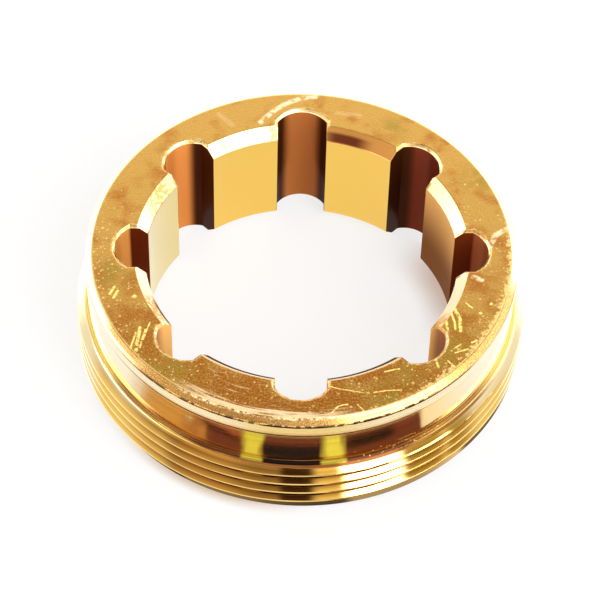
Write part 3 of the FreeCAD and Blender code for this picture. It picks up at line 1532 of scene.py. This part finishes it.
@dataclass(frozen=True)
class PlatedSteel:
    """Yellow passivated zinc over turned steel, with a finish for each kind of face.

    Margins are in millimetres from the size that they belong to. Heights of the relief are millimetres too.
    """

    top: TopFace
    bore: BoreFace
    outside: OutsideFace
    name: str = "plated_steel"
    top_skin: Ramp = (-0.05, -0.02)
    bore_margin: Ramp = (0.4, 0.2)
    slot_margin: Ramp = (0.05, 0.01)
    mouth_margin: Ramp = (0.06, -0.06)
    lip_margin: Ramp = (-0.08, 0.0)
    grain: Grain = (4.0, 4.0)
    scratch_grain: Grain = (2.2, 2.0)
    scratch_ramp: Ramp = (0.25, 0.55)
    ring_grain: Grain = (6.0, 3.0)
    row_grain: Grain = (7.0, 3.0)
    grain_height: float = 0.007
    ring_height: float = 0.004
    scratch_height: float = -0.02
    row_height: float = 0.0016
    # How much metal is given up where shade is painted
    painted_dark_share: float = 0.62
    shaded_land_share: float = 0.93
    dull_loss: float = 0.75
    roughness: float = 0.06
    roughness_gain: float = 0.2
    top_roughness: float = 0.14
    coat_least: float = 0.15
    coat_gain: float = 0.75
    chamfer_loss: float = 0.7
    coat_index: float = 1.8
    coat_roughness: float = 0.08
    under_shine: float = 0.0

    def spot(self, wiring: Wiring) -> Spot:
        """Find out where a point of the surface lies.

        Args:
            wiring: the material's wiring.

        Returns:
            The point's place and the zones that it is in.
        """
        bore = self.bore.form
        place = wiring.millimetres()
        parts = wiring.split(place)
        polar = wiring.group(polar_effect(), Place=place).outputs
        shape = slot_effect(bore.slots, bore.slot_width / MM, bore.slot_reach / MM, bore.floor_rise / MM)
        beside = wiring.group(shape, Radius=polar["Radius"], Turn=polar["Turn"]).outputs
        level = polar["Level"]
        top = wiring.rise(level, *past(bore.height, self.top_skin))
        inside = wiring.rise(polar["Radius"], *past(bore.slot_reach + bore.mouth_chamfer, self.bore_margin))
        inside = wiring.product(inside, wiring.rest(top))
        under_mouth = wiring.rise(level, *past(bore.height - bore.mouth_chamfer, self.mouth_margin))
        slot = wiring.product(wiring.rise(beside["Gap"], *self.slot_margin), under_mouth, inside)
        over_foot = wiring.rise(level, *past(bore.height - bore.top_chamfer, self.lip_margin))
        lip = wiring.product(over_foot, inside, wiring.rest(slot))
        gap = wiring.math("SUBTRACT", beside["Gap"], bore.mouth_chamfer / MM)
        turn = wiring.math("ARCTAN2", parts["X"], wiring.product(parts["Y"], -1.0))
        turn = wiring.math("SUBTRACT", wiring.math("DEGREES", turn), CAMERA_SIDE - FRONT)
        aside = wiring.math("DIVIDE", wiring.math("ABSOLUTE", parts["X"]), polar["Radius"])
        side = wiring.rest(wiring.most(inside, top))
        return Spot(wiring.tree, place, parts["X"], parts["Y"], polar["Radius"], turn, aside, level,
                    beside["Across"], beside["Along"], gap, top, inside, slot, lip, side)

    def relief(self, spot: Spot, grain: Socket, scratches: Socket) -> Socket:
        """Normal of the surface, with turning marks, grain and scratches.

        Args:
            spot: the point and its wiring.
            grain: the fine grain of the plating.
            scratches: mask of the scratches.

        Returns:
            The bent normal.
        """
        rings = spot.product(spot.lines(spot.radius, *self.ring_grain), self.ring_height)
        on_top = spot.math("MULTIPLY_ADD", grain, self.grain_height, rings)
        on_top = spot.math("MULTIPLY_ADD", scratches, self.scratch_height, on_top)
        on_side = spot.product(spot.lines(spot.level, *self.row_grain), self.row_height)
        change = spot.math("SUBTRACT", on_top, on_side)
        height = spot.math("MULTIPLY_ADD", change, spot.top, on_side)
        return spot.plug(spot.add("ShaderNodeBump"), Distance=MM, Height=height).outputs["Normal"]

    def build(self) -> bpy.types.Material:
        """Make the material.

        Returns:
            The finished material.
        """
        material = bpy.data.materials.new(self.name)
        material.use_nodes = True
        shader = material.node_tree.nodes["Principled BSDF"].inputs
        spot = self.spot(Wiring(material.node_tree))
        grain = spot.noise(spot.place, *self.grain)
        broken = spot.patchy(self.scratch_grain, self.scratch_ramp)
        scratches = spot.product(mark_mask(spot, SCRATCHES), broken)
        side = self.outside.dress(spot)
        top = self.top.dress(spot, grain, scratches)
        line = self.bore.front_line(spot)
        white = self.bore.highlit_lips(spot)
        colour = spot.mix(spot.bore, side.colour, self.bore.colour(spot, line, white))
        spot.feed(shader["Base Color"], spot.mix(spot.top, colour, top.colour))
        land = self.bore.shaded_land(spot)
        # Painted shade in the slots, on the land at the right and in the outside's dark lines, which are
        # made less metallic
        painted_dark = spot.most(spot.slot, land, self.outside.dark(spot))
        dull = spot.most(spot.product(top.dull, spot.top), spot.product(white, spot.rest(line)),
                         spot.product(side.dull, spot.side))
        plain = spot.most(spot.product(painted_dark, self.painted_dark_share), line, spot.product(land, self.shaded_land_share))
        metal = spot.math("MULTIPLY_ADD", dull, -self.dull_loss, 1.0)
        spot.feed(shader["Metallic"], spot.product(metal, spot.rest(plain)))
        chamfer = spot.product(self.outside.chamfer(spot), spot.side)
        rough = self.roughness
        for mask in (chamfer, spot.slot, spot.lip):
            rough = spot.math("MULTIPLY_ADD", mask, self.roughness_gain, rough)
        rough_top = spot.math("MULTIPLY_ADD", grain, self.roughness_gain, self.top_roughness)
        change = spot.math("SUBTRACT", rough_top, rough)
        spot.feed(shader["Roughness"], spot.math("MULTIPLY_ADD", change, spot.top, rough))
        spot.feed(shader["Normal"], self.relief(spot, grain, scratches))
        smooth = spot.product(spot.side, self.outside.smooth(spot))
        coat = spot.math("MULTIPLY_ADD", smooth, self.coat_gain, self.coat_least)
        coat = spot.product(coat, spot.math("MULTIPLY_ADD", chamfer, -self.chamfer_loss, 1.0))
        bare = spot.rest(spot.most(painted_dark, line, side.dull))
        spot.feed(shader["Coat Weight"], spot.product(coat, bare))
        shader["Specular IOR Level"].default_value = self.under_shine
        shader["Coat IOR"].default_value = self.coat_index
        shader["Coat Roughness"].default_value = self.coat_roughness
        return material


@dataclass(frozen=True)
class Panel:
    """A bright or dark field of the studio, as seen from the nut: 0 degrees is the camera's side."""

    azimuth: tuple[float, float]
    elevation: tuple[float, float]
    soft: float
    radiance: Triple


class StudioPanel(Enum):
    """The fields that the plated faces mirror."""

    FRONT_CEILING = Panel((-72.0, 12.0), (55.0, 76.0), 4.0, (0.36, 0.25, 0.15))
    LEFT_GOLD = Panel((-75.0, -38.0), (50.0, 76.0), 12.0, (0.60, 0.42, 0.22))
    LEFT_CEILING = Panel((-125.0, -74.0), (46.0, 76.0), 5.0, (0.80, 0.68, 0.45))
    RIGHT_CEILING = Panel((54.0, 125.0), (44.0, 76.0), 3.0, (0.52, 0.40, 0.17))
    OVERHEAD = Panel((-181.0, 181.0), (78.0, 91.0), 2.0, (1.6, 1.55, 1.45))
    GOLD_CEILING = Panel((9.0, 30.0), (55.0, 76.0), 4.0, (1.0, 0.85, 0.50))
    LOW_SOFTBOX = Panel((22.0, 79.0), (22.0, 48.0), 3.0, (5.0, 4.9, 4.6))
    HIGH_SOFTBOX = Panel((27.0, 59.0), (45.0, 70.0), 3.0, (5.5, 5.8, 8.0))
    LEFT_WALL = Panel((-74.0, -40.0), (22.0, 44.0), 6.0, (0.80, 0.68, 0.52))
    DARK_WALL = Panel((-44.0, -12.0), (24.0, 46.0), 6.0, (0.62, 0.50, 0.36))
    CAMERA = Panel((-13.0, 7.0), (58.0, 74.0), 3.0, (0.06, 0.03, 0.02))


@dataclass(frozen=True)
class Stretch:
    """A painted stretch of a floor card, in degrees from the camera's side and millimetres from the axis."""

    turn: tuple[float, float]
    reach: tuple[float, float]
    soft: float
    radiance: Triple
    slant: float = 0.0


class CardPaint(Enum):
    """What the neck, the crests and the flanks mirror on the floor, in the order of painting."""

    FAR_BROWN = Stretch((-62.0, 72.0), (38.0, 300.0), 3.0, (0.20, 0.08, 0.05))
    FAR_GOLD = Stretch((-75.0, -38.0), (38.0, 300.0), 6.0, (0.66, 0.38, 0.13))
    FAR_BLACK = Stretch((-11.9, 9.3), (38.0, 300.0), 0.8, (0.03, 0.016, 0.02))
    FAR_LEFT_BAR = Stretch((-20.7, -13.3), (38.0, 300.0), 1.2, (0.76, 0.84, 0.28))
    FAR_RIGHT_BAR = Stretch((10.6, 18.1), (38.0, 300.0), 1.2, (0.84, 0.94, 0.33))
    CREST_BROWN = Stretch((9.0, 46.0), (24.2, 28.6), 1.5, (0.40, 0.22, 0.10))
    NECK_GOLD = Stretch((-60.0, -18.0), (28.7, 31.55), 9.0, (0.66, 0.38, 0.13))
    NECK_BROWN = Stretch((-30.5, 43.5), (28.7, 31.55), 1.5, (0.17, 0.055, 0.04))
    NECK_BLEND = Stretch((-38.0, -30.5), (28.7, 31.55), 3.5, (0.46, 0.22, 0.09))
    NECK_RED = Stretch((-35.0, -18.0), (29.71, 34.0), 3.0, (0.46, 0.13, 0.075), 0.043)
    NECK_STREAK = Stretch((-33.0, -18.0), (29.3, 29.71), 2.0, (0.02, 0.012, 0.01), 0.043)
    NECK_GREEN = Stretch((-38.0, -35.5), (30.5, 30.8), 1.5, (0.62, 0.66, 0.52))
    RIGHT_RED = Stretch((16.0, 42.0), (30.9, 31.55), 3.0, (0.26, 0.065, 0.045))
    RIGHT_STREAK = Stretch((16.0, 33.0), (29.6, 30.7), 4.0, (0.03, 0.016, 0.012), -0.01)
    NECK_BLACK = Stretch((-10.0, 7.8), (28.7, 30.35), 0.7, (0.022, 0.014, 0.02))
    LEFT_BAR = Stretch((-17.4, -11.2), (28.7, 31.27), 1.5, (0.80, 0.86, 0.17))
    RIGHT_BAR = Stretch((8.9, 15.2), (28.7, 31.27), 1.5, (0.90, 0.98, 0.22))
    BAND_CREAM = Stretch((-60.0, 60.0), (31.5, 33.5), 6.0, (1.0, 1.02, 0.98))


def bare_material(name: str) -> tuple[bpy.types.Material, Wiring]:
    """Make a material with no nodes.

    Args:
        name: the material's name.

    Returns:
        The material and its wiring.
    """
    material = bpy.data.materials.new(name)
    material.use_nodes = True
    material.node_tree.nodes.clear()
    return material, Wiring(material.node_tree)


@dataclass
class FloorCard:
    """Painted paper round the foot, which only mirrors see."""

    inner: float = 24.0 * MM
    outer: float = 300.0 * MM
    lift: float = 0.05 * MM
    columns: int = 90
    edge: float = 0.06
    bow: float = 4.1
    wobble: float = 5.0
    wobble_grain: Grain = (0.5, 3.0)
    streak_grain: Grain = (4.0, 3.0)
    glow: float = 2.0

    def build(self) -> None:
        """Lay the card on the floor, hidden from all but mirror rays."""
        mesh = bmesh.new()
        start = mesh.verts.new((self.inner, 0.0, self.lift))
        end = mesh.verts.new((self.outer, 0.0, self.lift))
        edge = mesh.edges.new((start, end))
        bmesh.ops.spin(mesh, geom=[start, end, edge], cent=(0, 0, 0), axis=(0, 0, 1), angle=math.tau,
                       steps=self.columns, use_merge=True)
        card = set_out("floor_card", mesh)
        for ray in ("camera", "diffuse", "shadow", "transmission", "volume_scatter"):
            setattr(card, f"visible_{ray}", False)
        card.data.materials.append(self.paint())

    def paint(self) -> bpy.types.Material:
        """Make the card's material.

        Returns:
            A glow that is see-through outside the painted stretches.
        """
        material, wiring = bare_material("card_paint")
        place = wiring.millimetres()
        polar = wiring.group(polar_effect(), Place=place).outputs
        turn = wiring.math("SUBTRACT", polar["Turn"], CAMERA_SIDE)
        drop = wiring.rest(wiring.math("COSINE", wiring.math("RADIANS", turn)))
        reach = wiring.math("MULTIPLY_ADD", drop, self.bow, polar["Radius"])
        uneven = wiring.math("SUBTRACT", wiring.noise(place, *self.wobble_grain), NOISE_MEAN)
        turn = wiring.math("MULTIPLY_ADD", uneven, self.wobble, turn)
        cover: Feed = 0.0
        colour: Feed = WHITE
        for paint in CardPaint:
            stretch = paint.value
            leaning = wiring.math("MULTIPLY_ADD", turn, stretch.slant, reach)
            across = wiring.window(turn, *stretch.turn, stretch.soft)
            mask = wiring.product(across, wiring.window(leaning, *stretch.reach, self.edge))
            colour = wiring.mix(mask, colour, stretch.radiance)
            cover = wiring.most(mask, cover)
        streaks = wiring.product(wiring.lines(reach, *self.streak_grain), self.glow)
        glow = wiring.plug(wiring.add("ShaderNodeEmission"), Color=colour, Strength=streaks)
        clear = wiring.add("ShaderNodeBsdfTransparent")
        blend = wiring.add("ShaderNodeMixShader", cover, clear.outputs[0], glow.outputs[0])
        wiring.plug(wiring.add("ShaderNodeOutputMaterial"), Surface=blend.outputs[0])
        return material


@dataclass
class Studio:
    """Pale floor, soft light and the camera.

    Turns on the floor are degrees from +X, and ramps there are radii in millimetres.
    """

    floor_size: float = 1.2
    floor_paper: float = 0.2
    floor_glow: float = 0.78
    bore_mirrored: float = 0.86
    floor_mirrored: float = 0.84
    mirrored_ramp: Ramp = (15.0, 24.0)
    bore_shade: Triple = (0.64, 0.50, 0.42)
    bore_shade_turn: Zone = (2.0, 38.0, 14.0)
    bore_shade_from: Ramp = (12.8, 17.0)
    bore_shade_to: Ramp = (19.0, 18.0)
    foot_shade: Triple = (0.74, 0.58, 0.42)
    foot_shade_turn: Zone = (-134.0, -96.0, 14.0)
    foot_shade_from: Ramp = (22.0, 23.0)
    foot_shade_to: Ramp = (24.7, 23.2)
    elevation: float = math.radians(51.7765)
    turn: float = math.radians(-1.018)
    distance: float = 294.5 * MM
    aim: Triple = (-0.04 * MM, 0.0, 5.25 * MM)
    lift: float = 1.0 * MM
    roll: float = math.radians(1.58)
    lens: float = 161.88
    sensor: float = 36.0
    near_clip: float = 10.0 * MM
    low_white: Triple = (2.8, 2.7, 2.6)
    mid_white: Triple = (1.0, 0.97, 0.92)
    mid_ramp: Ramp = (15.0, 27.0)
    high_warm: Triple = (0.32, 0.28, 0.23)
    high_ramp: Ramp = (50.0, 52.0)

    def build_floor(self) -> None:
        """Lay the floor."""
        mesh = bmesh.new()
        bmesh.ops.create_grid(mesh, x_segments=1, y_segments=1, size=self.floor_size / 2)
        floor = set_out("floor", mesh)
        floor.data.materials.append(self.floor_white())

    def floor_white(self) -> bpy.types.Material:
        """Make the floor's material: white, with a little warm shade in the bore and at the foot.

        Returns:
            Paper that glows.
        """
        material, wiring = bare_material("floor_white")
        path = wiring.add("ShaderNodeLightPath").outputs
        paper = wiring.plug(wiring.add("ShaderNodeBsdfDiffuse"), Color=(self.floor_paper,) * 3)
        polar = wiring.group(polar_effect(), Place=wiring.millimetres()).outputs
        outward = wiring.rise(polar["Radius"], *self.mirrored_ramp)
        gain = wiring.math("MULTIPLY_ADD", outward, self.floor_mirrored - self.bore_mirrored,
                           self.bore_mirrored - self.floor_glow)
        extra = wiring.product(path["Is Glossy Ray"], gain)
        shades = (
            (self.bore_shade, self.bore_shade_turn, self.bore_shade_from, self.bore_shade_to),
            (self.foot_shade, self.foot_shade_turn, self.foot_shade_from, self.foot_shade_to),
        )
        tint: Feed = WHITE
        for colour, turn, start, end in shades:
            ring = wiring.product(wiring.rise(polar["Radius"], *start), wiring.rise(polar["Radius"], *end))
            shade = wiring.product(wiring.window(polar["Turn"], *turn), ring, path["Is Camera Ray"])
            tint = wiring.mix(shade, tint, colour)
        strength = wiring.math("ADD", extra, self.floor_glow)
        glow = wiring.plug(wiring.add("ShaderNodeEmission"), Color=tint, Strength=strength)
        both = wiring.add("ShaderNodeAddShader", paper.outputs[0], glow.outputs[0])
        wiring.plug(wiring.add("ShaderNodeOutputMaterial"), Surface=both.outputs[0])
        return material

    def place_camera(self) -> None:
        """Set the camera at the photograph's angle."""
        turn = Matrix.Rotation(self.turn, 3, "Z")
        place = turn @ Vector((0.0, -math.cos(self.elevation), math.sin(self.elevation))) * self.distance
        place.z += self.lift
        forward = (turn @ Vector(self.aim) - place).normalized()
        right = forward.cross(Vector((0.0, 0.0, 1.0))).normalized()
        up = right.cross(forward)
        turned_right = math.cos(self.roll) * right + math.sin(self.roll) * up
        turned_up = math.cos(self.roll) * up - math.sin(self.roll) * right
        axes = Matrix((turned_right, turned_up, -forward)).transposed()
        data = bpy.data.cameras.new("camera")
        data.sensor_width = self.sensor
        data.sensor_fit = "HORIZONTAL"
        data.lens = self.lens
        data.clip_start = self.near_clip
        camera = bpy.data.objects.new("camera", data)
        camera.matrix_world = Matrix.Translation(place) @ axes.to_4x4()
        bpy.context.scene.collection.objects.link(camera)
        bpy.context.scene.camera = camera

    def light(self) -> None:
        """Light the nut from a room of pale walls with softboxes and dark fields."""
        world = bpy.data.worlds.new("studio")
        world.use_nodes = True
        wiring = Wiring(world.node_tree)
        parts = wiring.split(wiring.add("ShaderNodeTexCoord").outputs["Generated"])
        high = wiring.math("DEGREES", wiring.math("ARCSINE", parts["Z"]))
        around = wiring.math("ARCTAN2", parts["X"], wiring.product(parts["Y"], -1.0))
        around = wiring.math("DEGREES", around)
        colour = wiring.mix(wiring.rise(high, *self.mid_ramp), self.low_white, self.mid_white)
        colour = wiring.mix(wiring.rise(high, *self.high_ramp), colour, self.high_warm)
        for field in StudioPanel:
            panel = field.value
            across = wiring.window(around, *panel.azimuth, panel.soft)
            mask = wiring.product(across, wiring.window(high, *panel.elevation, panel.soft))
            colour = wiring.mix(mask, colour, panel.radiance)
        wiring.feed(world.node_tree.nodes["Background"].inputs["Color"], colour)
        bpy.context.scene.world = world


def main() -> None:
    """Build the nut and the studio, and report each piece."""
    logging.basicConfig(level=logging.INFO, format="%(message)s")
    low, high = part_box(NODE)
    height = high.z - low.z
    outside = TurnedOutside(height=height, thread_radius=(high.x - low.x) / 2)
    nut = RetainingNut(outside, SlottedBore(height=height))
    piece = nut.build()
    nut.dress(piece)
    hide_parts(NODE)
    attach(piece, BODY)
    LOG.info("built %s", piece.name)
    studio = Studio()
    studio.build_floor()
    FloorCard().build()
    studio.place_camera()
    studio.light()
    bpy.context.scene.view_settings.view_transform = "Standard"
    bpy.context.view_layer.update()


if __name__ == "__main__":
    main()
